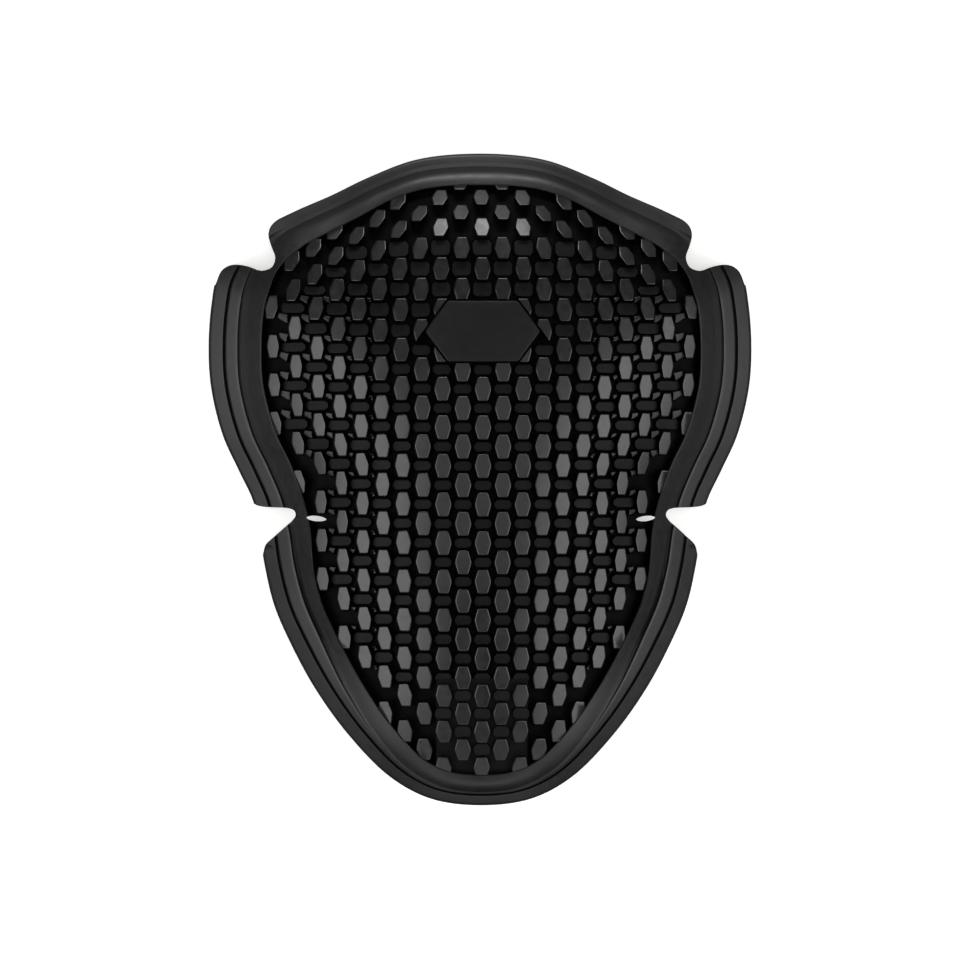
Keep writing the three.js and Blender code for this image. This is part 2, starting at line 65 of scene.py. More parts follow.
# Sizes and places in millimetres, taken from the solid's box or as shares of it
MM = 0.001
LENGTH = (body_high.y - body_low.y) / MM
WIDTH = (body_high.x - body_low.x) / MM
CROWN = (body_high.z - body_low.z) / MM
HALF_LENGTH = LENGTH / 2
HALF_WIDTH = WIDTH / 2
CROWN_Y = 0.1 * HALF_LENGTH
BADGE_Y = 0.4515 * HALF_LENGTH
CREASE_Y = 0.766 * HALF_LENGTH
STEEP_Y = 0.9 * HALF_LENGTH
PATCH_Y = -0.75 * HALF_LENGTH
SIDE_CELLS_X = 0.737 * HALF_WIDTH
BARS_TOP_Y = 0.72 * HALF_LENGTH
BARS_TIP_Y = -0.64 * HALF_LENGTH
STUDS_TOP_Y = 0.6 * HALF_LENGTH
SLIT_X = 0.605 * HALF_WIDTH
SLIT_Y = -0.121 * HALF_LENGTH

# How far the foot of each raised block goes down into the floor that it stands on, in millimetres
SUNK = 0.25

# Polish and painted shade of a piece: the polish of its uppermost parts, and the heights above the skin
# where it starts and is complete. Below them the specular level drops, which paints shade into the channels
# and recesses
PolishAndShade = namedtuple("PolishAndShade", "most low high")

# Fall of the dome from its crown to its lip in three directions, as shares of the whole fall.
# reach is the share of the way from the crown to the outline.
DomeSection = namedtuple("DomeSection", "reach side top tip")
DOME = (
    DomeSection(0.00, 0.000, 0.000, 0.000),
    DomeSection(0.20, 0.020, 0.017, 0.018),
    DomeSection(0.40, 0.120, 0.083, 0.090),
    DomeSection(0.60, 0.342, 0.202, 0.245),
    DomeSection(0.70, 0.505, 0.290, 0.353),
    DomeSection(0.76, 0.600, 0.381, 0.440),
    DomeSection(0.85, 0.749, 0.613, 0.592),
    DomeSection(0.92, 0.866, 0.794, 0.735),
    DomeSection(1.00, 1.000, 1.000, 1.000),
)

# Right half of the rim, from the neck end to the arm end, as shares of the half width and half
# length. The outer pair is the outline without its notches, the inner pair the field's edge.
RimSection = namedtuple("RimSection", "outer_x outer_y inner_x inner_y")
RIM = (
    RimSection(0.000, 1.000, 0.000, 0.902),
    RimSection(0.232, 0.982, 0.203, 0.891),
    RimSection(0.413, 0.926, 0.331, 0.856),
    RimSection(0.549, 0.871, 0.449, 0.804),
    RimSection(0.681, 0.823, 0.564, 0.755),
    RimSection(0.800, 0.772, 0.663, 0.709),
    RimSection(0.905, 0.705, 0.748, 0.641),
    RimSection(0.968, 0.625, 0.781, 0.574),
    RimSection(0.989, 0.540, 0.799, 0.512),
    RimSection(1.000, 0.411, 0.807, 0.411),
    RimSection(0.991, 0.282, 0.801, 0.291),
    RimSection(0.948, 0.135, 0.755, 0.144),
    RimSection(0.888, 0.025, 0.700, 0.046),
    RimSection(0.836, -0.068, 0.652, -0.064),
    RimSection(0.814, -0.156, 0.628, -0.156),
    RimSection(0.794, -0.264, 0.617, -0.270),
    RimSection(0.759, -0.387, 0.586, -0.380),
    RimSection(0.696, -0.509, 0.527, -0.488),
    RimSection(0.608, -0.644, 0.438, -0.626),
    RimSection(0.486, -0.785, 0.328, -0.758),
    RimSection(0.333, -0.914, 0.210, -0.859),
    RimSection(0.184, -0.980, 0.107, -0.897),
    RimSection(0.000, -1.000, 0.000, -0.905),
)

# Bands of the rim, as shares of its width from the outer edge inwards. around goes from 0 at the
# neck end to 1 at the arm end. groove, cove and roll are shares of the full depth of the lip's groove,
# of the inner trough and of the step and roll that take its place at both ends.
BandSection = namedtuple("BandSection", "around lip band groove cove roll")
BANDS = (
    BandSection(0.00, 0.30, 0.38, 0, 0.00, 1.10),
    BandSection(0.20, 0.30, 0.38, 0, 0.20, 0.85),
    BandSection(0.30, 0.27, 0.53, 1, 1.00, 0.00),
    BandSection(0.60, 0.27, 0.56, 1, 1.00, 0.00),
    BandSection(0.75, 0.31, 0.64, 1, 1.00, 0.00),
    BandSection(0.88, 0.33, 0.50, 1, 0.40, 0.35),
    BandSection(1.00, 0.32, 0.42, 1, 0.00, 0.60),
)

# Height of the inner part of the rim across its width, as shares of the cove's depth
CoveSection = namedtuple("CoveSection", "across cove roll")
COVE = (
    CoveSection(0.00, 0.10, 0.75),
    CoveSection(0.02, 0.35, 0.70),
    CoveSection(0.07, 0.70, 0.50),
    CoveSection(0.14, 0.93, 0.20),
    CoveSection(0.22, 1.00, -0.08),
    CoveSection(0.34, 0.94, -0.20),
    CoveSection(0.48, 0.78, -0.18),
    CoveSection(0.62, 0.56, -0.04),
    CoveSection(0.76, 0.34, 0.15),
    CoveSection(0.88, 0.16, 0.33),
    CoveSection(0.95, 0.06, 0.43),
)

# Notch outlines on the right side, as shares of the half width and half length
UPPER_NOTCH = (
    (0.720, 0.880), (0.702, 0.819), (0.742, 0.799), (0.770, 0.778), (0.780, 0.752),
    (0.770, 0.716), (0.755, 0.680), (0.768, 0.650), (0.807, 0.639), (0.850, 0.651),
    (0.890, 0.658), (0.926, 0.655), (0.954, 0.638), (0.975, 0.596), (1.100, 0.580),
)
LOWER_NOTCH = (
    (1.000, -0.030), (0.858, -0.030), (0.846, -0.062), (0.824, -0.080), (0.786, -0.086),
    (0.711, -0.089), (0.687, -0.096), (0.680, -0.110), (0.690, -0.125), (0.715, -0.144),
    (0.762, -0.179), (0.790, -0.202), (0.800, -0.232), (1.000, -0.270),
)


def linear_colour(code):
    """An sRGB hex code as linear red, green and blue."""
    channels = (int(code[k:k + 2], 16) / 255 for k in (1, 3, 5))
    return tuple(c / 12.92 if c <= 0.04045 else ((c + 0.055) / 1.055) ** 2.4 for c in channels)


def colour(name, description, code):
    """A colour that a user can change, from an sRGB hex code."""
    return FloatVectorProperty(
        name=name, description=description, default=linear_colour(code), subtype="COLOR", size=3,
        min=0, max=1,
    )


def millimetres(name, description, default):
    """A length that a user can change, in millimetres as drawings give it."""
    return FloatProperty(name=name, description=description + ", in mm", default=default, min=0)


def factor(name, description, default):
    """A share between 0 and 1 that a user can change."""
    return FloatProperty(
        name=name, description=description, default=default, subtype="FACTOR", min=0, max=1
    )


def watts(name, description, default):
    """The power of a light that a user can change."""
    return FloatProperty(name=name, description=description, default=default, unit="POWER", min=0)


class ShellSizes(bpy.types.PropertyGroup):
    """Sizes of the dome, its flange and its floor."""

    side_rise: millimetres("Side Rise", "Crown above the lip of a wing", 44)
    top_rise: millimetres("Neck Rise", "Crown above the lip at the neck end", 44)
    tip_rise: millimetres("Arm Rise", "Crown above the lip at the arm end", 29)
    flange_wall: millimetres("Flange Wall", "Thickness of the flange", 3)
    floor_wall: millimetres("Floor Wall", "Wall under the channels", 3.5)
    edge_round: millimetres("Edge Rounding", "Radius of the lip's edges", 0.9)
    groove_depth: millimetres("Groove Depth", "Depth of the lip's groove", 1.2)
    groove_width: millimetres("Groove Width", "Width of the lip's groove", 0.8)
    cove_depth: millimetres("Cove Depth", "Depth of the flange's inner trough", 1.6)
    patch_width: millimetres("Patch Width", "Raised floor at the arm end, across", 29)
    patch_length: millimetres("Patch Length", "Raised floor at the arm end, along", 29)
    patch_height: millimetres("Patch Height", "Raised floor above the channels", 1.7)
    slit_length: millimetres("Slit Length", "Length of each narrow slit", 6.3)
    slit_width: millimetres("Slit Width", "Width of each narrow slit", 1.7)
    stations: IntProperty(name="Stations", description="Points of each ring", default=352, min=88)


class FieldSizes(bpy.types.PropertyGroup):
    """Sizes of the cells, the bars, the studs and the badge."""

    cell_width: millimetres("Cell Width", "Across a cell's side corners", 5.3)
    cell_length: millimetres("Cell Length", "Along a cell", 7.5)
    cell_end: millimetres("Cell End", "Straight edge at each end of a cell", 2.9)
    cell_height: millimetres("Cell Height", "Cell above the channels", 3.5)
    bar_height: millimetres("Bar Height", "Bar above the channels", 1.6)
    channel: millimetres("Channel", "Gap between cells and bars", 0.7)
    bar_shift: millimetres("Bar Shift", "Outward shift of a bar on a slope of 45 degrees", 0.7)
    top_pitch: millimetres("Neck Column Pitch", "Spacing of the columns at the neck end", 6.55)
    tip_pitch: millimetres("Arm Column Pitch", "Spacing of the columns at the arm end", 5.95)
    row_pitch: millimetres("Row Pitch", "Spacing of the rows below the badge", 6.03)
    patch_pitch: millimetres("Patch Row Pitch", "Spacing of the rows on the raised floor", 5.66)
    shoulder_pitch: millimetres("Shoulder Row Pitch", "Spacing of the rows above the badge", 6.55)
    steep_pitch: millimetres("Steep Row Pitch", "Spacing of the rows on the steep neck end", 4.75)
    side_spread: millimetres("Side Spread", "Extra spread of the outer columns", 1.7)
    row_sag: millimetres("Row Sag", "Sag of the uppermost rows at the sides", 26)
    row_lift: millimetres("Row Lift", "Lift of the other rows at the sides", 1.4)
    stud_size: millimetres("Stud Size", "Across the foot of the smallest stud", 1.7)
    stud_height: millimetres("Stud Height", "Stud above the channels", 2.4)
    studs_from: millimetres("Studs From", "Nearest studs to the middle", 30)
    badge_length: millimetres("Badge Length", "Blank badge, across", 36)
    badge_width: millimetres("Badge Width", "Blank badge, along", 19)
    badge_shoulder: millimetres("Badge Shoulder", "Straight edge of the badge", 22)
    badge_channel: millimetres("Badge Channel", "Gap round the badge", 0.55)
    badge_proud: millimetres("Badge Proud", "Badge above the cells", 0.5)


class RubberLook(bpy.types.PropertyGroup):
    """Colours and finish of the moulded foam rubber."""

    deep: colour("Deep Black", "Darker tone of the rubber", "#070708")
    worn: colour("Worn Black", "Paler tone of the rubber", "#111213")
    matt: factor("Matt Roughness", "Roughness of the channels", 0.68)
    satin: factor("Satin Roughness", "Roughness of the tops", 0.36)
    # The channels' low specular level is painted shade in the recesses, on top of their matt finish
    channel_painted_shade_shine: factor("Matt Shine", "Specular level of the channels", 0.03)
    satin_shine: factor("Satin Shine", "Specular level of the tops", 0.75)
    grain: millimetres("Grain", "Size of the moulded grain", 0.35)


class StageSizes(bpy.types.PropertyGroup):
    """Floor, camera and lights."""

    floor: FloatProperty(name="Floor", description="Side of the floor", default=16, unit="LENGTH")
    floor_colour: colour("Floor Colour", "Opal sheet under the object", "#f4f4f2")
    floor_glow: FloatProperty(name="Floor Glow", description="Light that the floor gives off", default=0.6)
    view_width: millimetres("View Width", "Width of the view", 302.4)
    camera_reach: FloatProperty(name="Reach", description="Camera to object", default=6, unit="LENGTH")
    camera_tilt: FloatProperty(
        name="Tilt", description="Lean to the left", default=math.radians(1.2), subtype="ANGLE"
    )
    side_power: watts("Side Power", "Power of each side light", 12.5)
    neck_power: watts("Neck Power", "Power of the light at the neck end", 6)
    arm_power: watts("Arm Power", "Power of the light at the arm end", 2.4)
    top_power: watts("Top Power", "Power of the overhead light", 2.7)
    surround: factor("Surround", "Strength of the light from all round", 0.1)


def shell():
    """Sizes of the shell that are set now."""
    return bpy.context.scene.protector_shell


def field():
    """Sizes of the field that are set now."""
    return bpy.context.scene.protector_field


def smooth_table(rows, source, target):
    """Smooth curve through one column of a table, with no overshoot between its rows."""
    xs = np.array([getattr(row, source) for row in rows])
    ys = np.array([getattr(row, target) for row in rows], float)
    steps = np.diff(ys) / np.diff(xs)
    tangents = np.zeros(len(xs))
    tangents[-1] = steps[-1]
    for k in range(1, len(xs) - 1):
        if steps[k - 1] * steps[k] > 0:
            tangents[k] = 2 * steps[k - 1] * steps[k] / (steps[k - 1] + steps[k])

    def value(x):
        x = np.asarray(x, float)
        k = np.clip(np.searchsorted(xs, x, side="right") - 1, 0, len(xs) - 2)
        span = xs[k + 1] - xs[k]
        share = (x - xs[k]) / span
        rise = ys[k + 1] - ys[k]
        bend_in = span * tangents[k] - rise
        bend_out = rise - span * tangents[k + 1]
        inside = ys[k] + rise * share + share * (1 - share) * ((1 - share) * bend_in + share * bend_out)
        return np.where(x > xs[-1], ys[-1] + tangents[-1] * (x - xs[-1]), inside)

    return value


def catmull_rom(before, start, end, after, share):
    """Point between start and end on a centripetal Catmull-Rom curve."""
    spans = [math.sqrt((b - a).length) for a, b in ((before, start), (start, end), (end, after))]
    leave = (start - before) / spans[0] - (end - before) / (spans[0] + spans[1]) + (end - start) / spans[1]
    arrive = (end - start) / spans[1] - (after - start) / (spans[1] + spans[2]) + (after - end) / spans[2]
    leave *= spans[1]
    arrive *= spans[1]
    square = 3 * (end - start) - 2 * leave - arrive
    cube = 2 * (start - end) + leave + arrive
    return start + leave * share + square * share**2 + cube * share**3


def closed_curve(points, count):
    """Evenly numbered points on a smooth closed curve through a list of points."""
    size = len(points)
    found = []
    for k in range(count):
        place = k * size / count
        at = int(place)
        near = [points[(at + step) % size] for step in (-1, 0, 1, 2)]
        found.append(catmull_rom(*near, place - at))
    return found


def open_curve(points, steps):
    """Points on a smooth open curve through a list of points, with some steps between each two."""
    ends = [2 * points[0] - points[1], *points, 2 * points[-1] - points[-2]]
    found = [points[0]]
    for k in range(1, len(points)):
        near = ends[k - 1:k + 3]
        found += [catmull_rom(*near, (step + 1) / steps) for step in range(steps)]
    return found


def rim_points(x_name, y_name, count):
    """Closed plan curve through the rim table, mirrored to both sides."""
    right = [Vector((getattr(r, x_name) * HALF_WIDTH, getattr(r, y_name) * HALF_LENGTH)) for r in RIM]
    left = [Vector((-p.x, p.y)) for p in reversed(right[1:-1])]
    return closed_curve(right + left, count)


def reach_table(points):
    """Distance from the crown to a closed curve, by direction."""
    angles = np.array([math.atan2(p.y - CROWN_Y, p.x) for p in points])
    reaches = np.array([math.hypot(p.x, p.y - CROWN_Y) for p in points])
    return lambda angle: np.interp(angle, angles, reaches, period=2 * math.pi)


CURVE_STEPS = 1100
outer_reach = reach_table(rim_points("outer_x", "outer_y", CURVE_STEPS))
inner_reach = reach_table(rim_points("inner_x", "inner_y", CURVE_STEPS))
side_fall = smooth_table(DOME, "reach", "side")
top_fall = smooth_table(DOME, "reach", "top")
tip_fall = smooth_table(DOME, "reach", "tip")
lip_share = smooth_table(BANDS, "around", "lip")
band_share = smooth_table(BANDS, "around", "band")
groove_share = smooth_table(BANDS, "around", "groove")
cove_share = smooth_table(BANDS, "around", "cove")
roll_share = smooth_table(BANDS, "around", "roll")


def skin(x, y):
    """Height of the dome's skin, which the tops of the cells and the flange follow."""
    sizes = shell()
    angle = np.arctan2(y - CROWN_Y, x)
    reach = np.hypot(x, y - CROWN_Y) / outer_reach(angle)
    end_fall = np.where(y > CROWN_Y, sizes.top_rise * top_fall(reach), sizes.tip_rise * tip_fall(reach))
    return CROWN - np.cos(angle) ** 2 * sizes.side_rise * side_fall(reach) - np.sin(angle) ** 2 * end_fall


def slope(x, y):
    """Slope of the skin along X and along Y."""
    step = 0.2
    along_x = (skin(x + step, y) - skin(x - step, y)) / (2 * step)
    along_y = (skin(x, y + step) - skin(x, y - step)) / (2 * step)
    return along_x, along_y


def raise_onto_dome(points):
    """Plan points, whose Z is their height square to the skin, as points on the dome."""
    x, y, height = points.T
    slope_x, slope_y = slope(x, y)
    z = skin(x, y) + height * np.sqrt(1 + slope_x**2 + slope_y**2)
    return np.column_stack((x, y, np.maximum(z, 0)))


def inset_of(point):
    """How far a plan point lies inside the edge of the field."""
    angle = math.atan2(point.y - CROWN_Y, point.x)
    return float(inner_reach(angle)) - math.hypot(point.x, point.y - CROWN_Y)


def finish_piece(bm, name, smooth_angle, polish):
    """Raises a plan model onto the dome and makes it a piece of the object, in metres.

    The mould and handling leave the tops smooth, and the channels between them matt. The same layer also
    lowers the specular level the deeper a part lies, which is painted shade in the channels and the cove.
    """
    bmesh.ops.recalc_face_normals(bm, faces=bm.faces)
    for face in bm.faces:
        face.smooth = True
    mesh = bpy.data.meshes.new(name)
    bm.to_mesh(mesh)
    bm.free()
    points = np.empty(3 * len(mesh.vertices))
    mesh.vertices.foreach_get("co", points)
    points = points.reshape(-1, 3)
    # Smoothness and specular level fall off with depth below the tops; the lower specular level is painted
    # shade
    share = np.clip((points[:, 2] - polish.low) / (polish.high - polish.low), 0, 1)
    polish_and_shade_layer = mesh.attributes.new("polish", "FLOAT", "POINT")
    polish_and_shade_layer.data.foreach_set("value", polish.most * share**2 * (3 - 2 * share))
    raised = raise_onto_dome(points) * MM
    mesh.vertices.foreach_set("co", raised.ravel())
    mesh.set_sharp_from_angle(angle=math.radians(smooth_angle))
    mesh.update()
    piece = bpy.data.objects.new(name, mesh)
    bpy.context.scene.collection.objects.link(piece)
    piece.data.materials.append(rubber_material())
    even = piece.modifiers.new("even_shading", "WEIGHTED_NORMAL")
    even.keep_sharp = True
    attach(piece, "root")
    return piece


def rim_profile(half, width):
    """Upper face of the rim from its outer to its inner edge, as shares of its width and depths."""
    sizes = shell()
    lip = float(lip_share(half))
    band = float(band_share(half))
    groove = sizes.groove_width / width
    grooved = min(1.0, max(0.0, float(groove_share(half))))
    depth = sizes.groove_depth * grooved
    roll = sizes.cove_depth * float(roll_share(half))
    trough = sizes.cove_depth * float(cove_share(half))
    ledge = roll * (1 - grooved) * COVE[0].roll
    band = max(band, lip + 1.4 * groove)
    turn = sizes.edge_round / width
    # soft is the length of the bend at the band's edge. squeeze draws in the groove's inner side, so that
    # the points stay in order where the band is narrow.
    soft = min(0.3 / width, (band - lip) / 8)
    squeeze = min(1.0, (band - lip - 3.5 * soft) / (1.5 * groove))
    cove = 1 - band
    lip_edge = ((0, sizes.edge_round), (0.1, 0.5), (0.35, 0.2), (0.7, 0.05), (1.0, 0.0))
    groove_line = ((-0.5, 0.0), (-0.15, 0.03), (0.05, 0.2), (0.2, 0.8), (0.5, 1.0), (0.8, 0.8), (0.95, 0.2),
                   (1.15, 0.03), (1.5, 0.0))
    points = [(turn * share, sizes.edge_round * drop) for share, drop in lip_edge]
    points += [(lip + groove * share * (squeeze if share > 0 else 1), depth * drop)
               for share, drop in groove_line]
    points += [(band - 3 * soft, 0.0), (band - soft, 0.02)]
    points = [(share, drop + ledge * min(1.0, share / lip)) for share, drop in points]
    past_groove = lip + groove * squeeze / 2
    step_down = roll * COVE[0].roll
    points = [(share, max(drop, step_down) if share > past_groove else drop) for share, drop in points]
    points += [(band + cove * part.across, trough * part.cove + roll * part.roll) for part in COVE]
    return points


def shell_station(k, outer, inner):
    """Closed section of the shell at one station, from the crown out over the rim and back below."""
    sizes = shell()
    cells = field()
    around = k / sizes.stations
    half = 2 * around if around < 0.5 else 2 - 2 * around
    width = (outer - inner).length
    crown = Vector((0, CROWN_Y))
    floor = -cells.cell_height
    inside = -(sizes.floor_wall + cells.cell_height)
    flange = -sizes.flange_wall
    turn = sizes.edge_round
    wall_step = 0.12

    def on_field(share, height):
        return (*crown.lerp(inner, share), height)

    def on_rim(share, height):
        return (*outer.lerp(inner, share), height)

    section = [on_field(share, floor)
               for share in (0.02, 0.12, 0.25, 0.4, 0.55, 0.68, 0.8, 0.9, 0.96, 0.99)]
    profile = rim_profile(half, width)
    edge = -profile[-1][1]
    section += [on_rim(1 + inward * wall_step / width, edge + (floor - edge) * drop)
                for inward, drop in ((4, 0.99), (2, 0.9), (1, 0.75), (0.5, 0.25), (0, 0.08), (-2, 0.02))]
    section += [on_rim(share, -depth) for share, depth in reversed(profile)]
    section += [on_rim(0, -turn - (sizes.flange_wall - 2 * turn) * share) for share in (0.5, 1.0)]
    section += [on_rim(turn * share / width, flange + turn * rise)
                for share, rise in ((0.1, 0.5), (0.35, 0.2), (0.7, 0.05), (1.0, 0.0))]
    section += [on_rim(share, flange) for share in (0.15, 0.3)]
    for share in (0.4, 0.5, 0.6, 0.7, 0.8, 0.9):
        blend = (share - 0.3) / 0.7
        blend = blend * blend * (3 - 2 * blend)
        section.append(on_rim(share, flange + blend * (inside - flange)))
    section += [on_field(share, inside) for share in (1, 0.9, 0.75, 0.6, 0.45, 0.3, 0.15, 0.02)]
    return section


def ring_shell():
    """The shell in plan: one ring of points extruded step by step along the stations' sections."""
    count = shell().stations
    outer = rim_points("outer_x", "outer_y", count)
    inner = rim_points("inner_x", "inner_y", count)
    sections = [shell_station(k, outer[k], inner[k]) for k in range(count)]
    bm = bmesh.new()
    station = bm.verts.layers.int.new("station")
    ring = bmesh.ops.create_circle(bm, segments=count, radius=1)["verts"]
    for k, vert in enumerate(ring):
        vert[station] = k
        vert.co = sections[k][0]
    bm.verts.index_update()
    edges = list(bm.edges)
    poles = [list(ring)]
    for step in range(1, len(sections[0])):
        made = bmesh.ops.extrude_edge_only(bm, edges=edges)["geom"]
        edges = [part for part in made if isinstance(part, bmesh.types.BMEdge)]
        ring = [part for part in made if isinstance(part, bmesh.types.BMVert)]
        for vert in ring:
            vert.co = sections[vert[station]][step]
    poles.append(ring)
    for pole in poles:
        middle = Vector((0, CROWN_Y, pole[0].co.z))
        rim = [edge for edge in bm.edges if edge.is_boundary and edge.verts[0] in set(pole)]
        made = bmesh.ops.extrude_edge_only(bm, edges=rim)["geom"]
        tip = [part for part in made if isinstance(part, bmesh.types.BMVert)]
        bmesh.ops.pointmerge(bm, verts=tip, merge_co=middle)
    return bm


def plan_prism(points, low, high):
    """Upright prism over a plan outline."""
    bm = bmesh.new()
    face = bm.faces.new([bm.verts.new((p[0], p[1], low)) for p in points])
    made = bmesh.ops.extrude_face_region(bm, geom=[face])["geom"]
    top = [part for part in made if isinstance(part, bmesh.types.BMVert)]
    bmesh.ops.translate(bm, verts=top, vec=(0, 0, high - low))
    bmesh.ops.recalc_face_normals(bm, faces=bm.faces)
    return bm


def notch_outline(rows, side):
    """Outline of a notch on one side, smooth between its two ends outside the flange."""
    points = [Vector((side * x * HALF_WIDTH, y * HALF_LENGTH)) for x, y in rows]
    return [points[0], *open_curve(points[1:-1], 3), points[-1]]


def slit_outline(side):
    """Leaf-shaped slit, pointed at both ends."""
    sizes = shell()
    steps = 12
    tilt = 0.09
    points = []
    for k in range(2 * steps):
        turn = math.pi * k / steps
        leaf = math.copysign(abs(math.sin(turn)) ** 1.3, math.sin(turn))
        along = sizes.slit_length / 2 * math.cos(turn)
        across = SLIT_Y + tilt * along + sizes.slit_width / 2 * leaf
        points.append((side * (SLIT_X + along), across))
    return points


def cut_out(bm, outlines):
    """The plan model with upright holes over some outlines."""
    body = bpy.data.meshes.new("cut_body")
    bm.to_mesh(body)
    bm.free()
    target = bpy.data.objects.new("cut_body", body)
    bpy.context.scene.collection.objects.link(target)
    cutters = []
    through = 30
    for outline in outlines:
        cutter_mesh = bpy.data.meshes.new("cutter")
        prism = plan_prism(outline, -through, through)
        prism.to_mesh(cutter_mesh)
        prism.free()
        cutter = bpy.data.objects.new("cutter", cutter_mesh)
        bpy.context.scene.collection.objects.link(cutter)
        cutters.append(cutter)
        cut = target.modifiers.new("cut", "BOOLEAN")
        cut.operation = "DIFFERENCE"
        cut.solver = "MANIFOLD"
        cut.object = cutter
    evaluated = target.evaluated_get(bpy.context.evaluated_depsgraph_get())
    result = bmesh.new()
    result.from_mesh(evaluated.to_mesh())
    evaluated.to_mesh_clear()
    for spare in [target, *cutters]:
        bpy.data.objects.remove(spare)
    return result


class PROTECTOR_OT_shell(bpy.types.Operator):
    """Add the dome shell with its flange, notches and slits"""

    bl_idname = "protector.shell"
    bl_label = "Dome Shell"

    def execute(self, context):
        bm = ring_shell()
        bmesh.ops.recalc_face_normals(bm, faces=bm.faces)
        outlines = []
        for side in (-1, 1):
            outlines += [notch_outline(notch, side) for notch in (UPPER_NOTCH, LOWER_NOTCH)]
            outlines.append(slit_outline(side))
        bm = cut_out(bm, outlines)
        bmesh.ops.remove_doubles(bm, verts=bm.verts, dist=0.02)
        bmesh.ops.triangulate(bm, faces=[face for face in bm.faces if len(face.verts) > 4])
        # The shell's polish falls off into the cove, where the lower specular level is painted shade
        piece = finish_piece(bm, "dome_shell", 50, PolishAndShade(most=0.75, low=-3.3, high=-0.3))
        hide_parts("protector_body")
        return {"FINISHED"}


def row_line(row):
    """Centre line of a row of cells, counted up from the row through the badge."""
    sizes = field()
    if row <= 0:
        even_rows = round((BADGE_Y - PATCH_Y - shell().patch_length / 2) / sizes.row_pitch)
        even = max(row, -even_rows)
        return BADGE_Y + even * sizes.row_pitch + (row - even) * sizes.patch_pitch
    shoulder_rows = round((CREASE_Y - BADGE_Y) / sizes.shoulder_pitch)
    gentle = min(row, shoulder_rows)
    return BADGE_Y + gentle * sizes.shoulder_pitch + (row - gentle) * sizes.steep_pitch


def site_centre(column, row):
    """Plan place of a cell or bar."""
    sizes = field()
    line = row_line(row)
    up = (line + HALF_LENGTH) / LENGTH
    even = column * (sizes.tip_pitch + up * (sizes.top_pitch - sizes.tip_pitch))
    out = abs(even) / SIDE_CELLS_X
    x = even + math.copysign(sizes.side_spread * out**4, even)
    high = min(1.0, max(0.0, (line - BADGE_Y) / (STEEP_Y - BADGE_Y)))
    y = line + sizes.row_lift * out**2 - sizes.row_sag * high**2 * min(out, 0.85) ** 3
    return Vector((x, y))


def field_sites():
    """Columns, rows and places of all sites inside the field."""
    sizes = field()
    columns = math.ceil(HALF_WIDTH / sizes.tip_pitch)
    rows_up = math.ceil(HALF_LENGTH / sizes.steep_pitch)
    rows_down = math.ceil(LENGTH / sizes.patch_pitch)
    for column in range(-columns, columns + 1):
        for row in range(-rows_down, rows_up + 1):
            centre = site_centre(column, row)
            if inset_of(centre) > -sizes.cell_width / 2:
                yield column, row, centre


def badge_outline(grow):
    """Outline of the badge in plan, grown outwards by the same distance on every edge."""
    sizes = field()
    point = (sizes.badge_length - sizes.badge_shoulder) / 2
    half = sizes.badge_width / 2
    end = sizes.badge_length / 2 + grow * math.hypot(point, half) / half
    side = half + grow
    shoulder = end - side * point / half
    return [Vector((x, BADGE_Y + y)) for x, y in (
        (end, 0), (shoulder, side), (-shoulder, side), (-end, 0), (-shoulder, -side), (shoulder, -side)
    )]


def badge_edge(point):
    """Distance outside the badge's channel, with the place and outward direction of the nearest edge."""
    corners = badge_outline(field().badge_channel)
    found = []
    for k, corner in enumerate(corners):
        along = (corners[(k + 1) % 6] - corner).normalized()
        outward = Vector((along.y, -along.x))
        found.append(((point - corner).dot(outward), k, corner, outward))
    distance, _, corner, outward = max(found)
    return distance, corner, outward


def block(corners, steps, corner_cut=0.5):
    """Raised block in plan, closed below: an outline inset in steps, each of them an inset and a rise."""
    bm = bmesh.new()
    base = bm.faces.new([bm.verts.new((*corner, 0)) for corner in corners])
    base.normal_update()
    if base.normal.z < 0:
        base.normal_flip()
    bmesh.ops.bevel(
        bm, geom=base.verts[:], offset=corner_cut, offset_type="OFFSET", affect="VERTICES", segments=1,
        profile=0.5, material=-1,
    )
    for inward, rise in steps:
        top = max(bm.faces, key=lambda face: face.calc_center_median().z)
        bmesh.ops.inset_individual(bm, faces=[top], thickness=inward, depth=rise, use_even_offset=True)
    bmesh.ops.holes_fill(bm, edges=[edge for edge in bm.edges if edge.is_boundary], sides=0)
    return bm


def cut_away(bm, place, outward):
    """Removes what lies on the outward side of an upright plane, and closes the cut."""
    geometry = bm.verts[:] + bm.edges[:] + bm.faces[:]
    bmesh.ops.bisect_plane(
        bm, geom=geometry, dist=0.001, plane_co=(*place, 0), plane_no=(*outward, 0), clear_outer=True
    )
    open_edges = [edge for edge in bm.edges if edge.is_boundary]
    if open_edges:
        bmesh.ops.holes_fill(bm, edges=open_edges, sides=0)


def edge_of_field(centre):
    """Point of the field's edge nearest a site, and the way out there."""
    angle = math.atan2(centre.y - CROWN_Y, centre.x)
    aside = 0.02
    places = []
    for turn in (angle - aside, angle, angle + aside):
        reach = float(inner_reach(turn))
        places.append(Vector((reach * math.cos(turn), CROWN_Y + reach * math.sin(turn))))
    along = (places[2] - places[0]).normalized()
    return places[1], Vector((along.y, -along.x))


def add_copy(target, source):
    """Adds one bmesh to another."""
    spare = bpy.data.meshes.new("spare")
    source.to_mesh(spare)
    target.from_mesh(spare)
    source.free()
    bpy.data.meshes.remove(spare)


